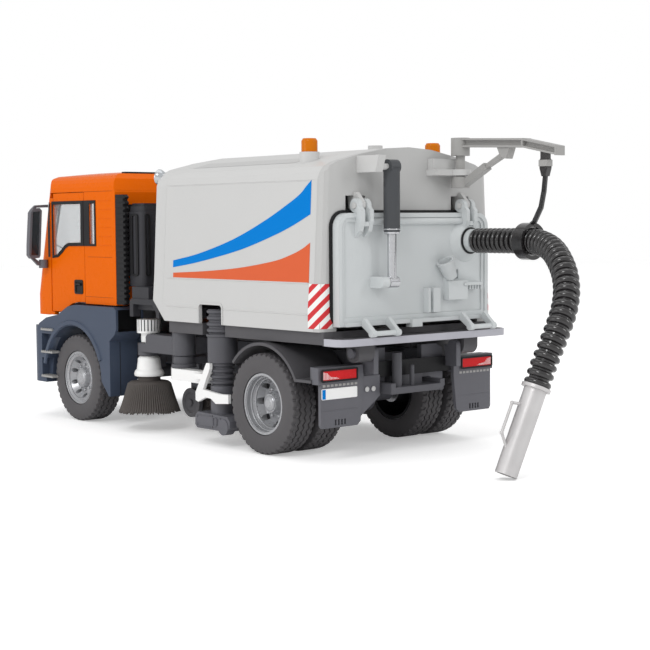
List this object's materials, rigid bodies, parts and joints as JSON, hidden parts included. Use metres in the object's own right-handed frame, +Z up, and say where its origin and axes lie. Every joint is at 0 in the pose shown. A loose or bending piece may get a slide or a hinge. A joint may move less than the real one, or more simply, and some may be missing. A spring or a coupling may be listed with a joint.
{
  "type": "toy street sweeper truck",
  "caption": "Toy street sweeper truck with a tilting cab, tipping dirt container, lifting tailgate, swivelling hose arm and turning side brooms.",
  "frame": {"origin": "on the floor under the middle of the overall width and length, the free hose left out", "axes": "+X to the truck's right, +Y forward towards the cab, +Z up"},
  "size_m": [0.1868, 0.4814, 0.204],
  "materials": {
    "chassis_plastic": "satin",
    "dark_plastic": "satin",
    "slate_plastic": "satin",
    "orange_plastic": "gloss",
    "light_plastic": "satin",
    "white_plastic": "satin",
    "gate_plastic": "satin",
    "boom_plastic": "satin",
    "rod_plastic": "satin",
    "tyre": "matte",
    "rim_plastic": "satin",
    "bristle": "matte",
    "hose_rubber": "satin",
    "glass": "clear",
    "lamp_red": "gloss",
    "lamp_amber": "gloss",
    "lamp_clear": "gloss"
  },
  "bodies": {
    "chassis": {"frame": "chassis_plastic", "front_bumper": "slate_plastic", "step_fenders": "slate_plastic", "headlights": "lamp_clear", "engine": "dark_plastic", "front_axle": "dark_plastic", "rear_axle": "dark_plastic", "tail_board": "dark_plastic", "tail_lamps": "lamp_red", "tow_hitch": "chassis_plastic", "rear_mudguards": "chassis_plastic", "intake_stack": "dark_plastic", "broom_posts": "chassis_plastic", "suction_bellows": "chassis_plastic", "suction_mouths": "dark_plastic", "suction_links": "white_plastic"},
    "roller": {"roller_broom": "bristle"},
    "broom_left": {"broom_arm_left": "chassis_plastic"},
    "broom_right": {"broom_arm_right": "chassis_plastic"},
    "brush_left": {"broom_spindle_left": "white_plastic", "broom_brush_left": "bristle"},
    "brush_right": {"broom_spindle_right": "white_plastic", "broom_brush_right": "bristle"},
    "cab": {"cab_floor": "dark_plastic", "cab_back": "orange_plastic", "cab_roof": "orange_plastic", "cab_front": "orange_plastic", "cab_glass": "glass", "cab_ducts": "dark_plastic", "grille": "dark_plastic", "mirrors": "dark_plastic"},
    "door_left": {"door_left": "orange_plastic", "door_glass_left": "glass"},
    "door_right": {"door_right": "orange_plastic", "door_glass_right": "glass"},
    "container": {"container_sides": "light_plastic", "container_roof": "light_plastic", "container_front": "light_plastic", "container_rear": "light_plastic", "container_base": "dark_plastic", "beacons": "lamp_amber", "rear_brackets": "light_plastic"},
    "tailgate": {"tailgate": "gate_plastic", "tailgate_latches": "gate_plastic"},
    "ram_barrel": {"ram_barrel": "chassis_plastic"},
    "ram_rod": {"ram_rod": "rod_plastic"},
    "boom": {"boom": "boom_plastic", "hose_sling": "hose_rubber", "hose": "hose_rubber", "nozzle": "boom_plastic"},
    "wheel_fl": {"tyre_fl": "tyre", "rim_fl": "rim_plastic"},
    "wheel_fr": {"tyre_fr": "tyre", "rim_fr": "rim_plastic"},
    "wheel_rl": {"tyre_rl": "tyre", "rim_rl": "rim_plastic"},
    "wheel_rr": {"tyre_rr": "tyre", "rim_rr": "rim_plastic"}
  },
  "joints": [
    {"name": "wheel_spin_fl", "type": "hinge", "parent": "chassis", "child": "wheel_fl", "pos_m": [-0.06, 0.158, 0.033], "axis": [1, 0, 0], "continuous": true},
    {"name": "wheel_spin_fr", "type": "hinge", "parent": "chassis", "child": "wheel_fr", "pos_m": [0.06, 0.158, 0.033], "axis": [1, 0, 0], "continuous": true},
    {"name": "wheel_spin_rl", "type": "hinge", "parent": "chassis", "child": "wheel_rl", "pos_m": [-0.06, -0.072, 0.033], "axis": [1, 0, 0], "continuous": true},
    {"name": "wheel_spin_rr", "type": "hinge", "parent": "chassis", "child": "wheel_rr", "pos_m": [0.06, -0.072, 0.033], "axis": [1, 0, 0], "continuous": true},
    {"name": "cab_tilt", "type": "hinge", "parent": "chassis", "child": "cab", "pos_m": [0, 0.216, 0.076], "axis": [-1, 0, 0], "range_deg": [0, 45]},
    {"name": "door_swing_left", "type": "hinge", "parent": "cab", "child": "door_left", "pos_m": [-0.0748, 0.1928, 0.13], "axis": [0, 0, -1], "range_deg": [0, 65]},
    {"name": "door_swing_right", "type": "hinge", "parent": "cab", "child": "door_right", "pos_m": [0.0748, 0.1928, 0.13], "axis": [0, 0, 1], "range_deg": [0, 65]},
    {"name": "container_tip", "type": "hinge", "parent": "chassis", "child": "container", "pos_m": [0, -0.132, 0.068], "axis": [1, 0, 0], "range_deg": [0, 40]},
    {"name": "tailgate_lift", "type": "hinge", "parent": "container", "child": "tailgate", "pos_m": [0, -0.133, 0.16], "axis": [-1, 0, 0], "range_deg": [0, 75], "deforming": ["hose", "hose_sling"]},
    {"name": "ram_swing", "type": "hinge", "parent": "container", "child": "ram_barrel", "pos_m": [-0.0285, -0.142, 0.184], "axis": [-1, 0, 0], "range_deg": [0, 56]},
    {"name": "ram_slide", "type": "slide", "parent": "ram_barrel", "child": "ram_rod", "axis": [0, 0, 1], "range_m": [0, 0.0245]},
    {"name": "boom_swivel", "type": "hinge", "parent": "container", "child": "boom", "pos_m": [0.037, -0.138, 0.19], "axis": [0, 0, 1], "range_deg": [-40, 75], "deforming": ["hose", "hose_sling"]},
    {"name": "broom_swing_left", "type": "hinge", "parent": "chassis", "child": "broom_left", "pos_m": [-0.065, 0.033, 0.065], "axis": [0, 0, 1], "range_deg": [0, 35]},
    {"name": "brush_spin_left", "type": "hinge", "parent": "broom_left", "child": "brush_left", "pos_m": [-0.063, 0.08, 0.04], "axis": [0, 0, 1], "continuous": true},
    {"name": "broom_swing_right", "type": "hinge", "parent": "chassis", "child": "broom_right", "pos_m": [0.065, 0.033, 0.065], "axis": [0, 0, -1], "range_deg": [0, 35]},
    {"name": "brush_spin_right", "type": "hinge", "parent": "broom_right", "child": "brush_right", "pos_m": [0.063, 0.08, 0.04], "axis": [0, 0, 1], "continuous": true},
    {"name": "roller_spin", "type": "hinge", "parent": "chassis", "child": "roller", "pos_m": [0, 0.0425, 0.022], "axis": [1, 0, 0], "continuous": true}
  ],
  "couplings": [
    {"joint": "ram_swing", "follows": "tailgate_lift", "ratio": 0.735},
    {"joint": "ram_slide", "follows": "tailgate_lift", "m_per_rad": 0.018}
  ]
}
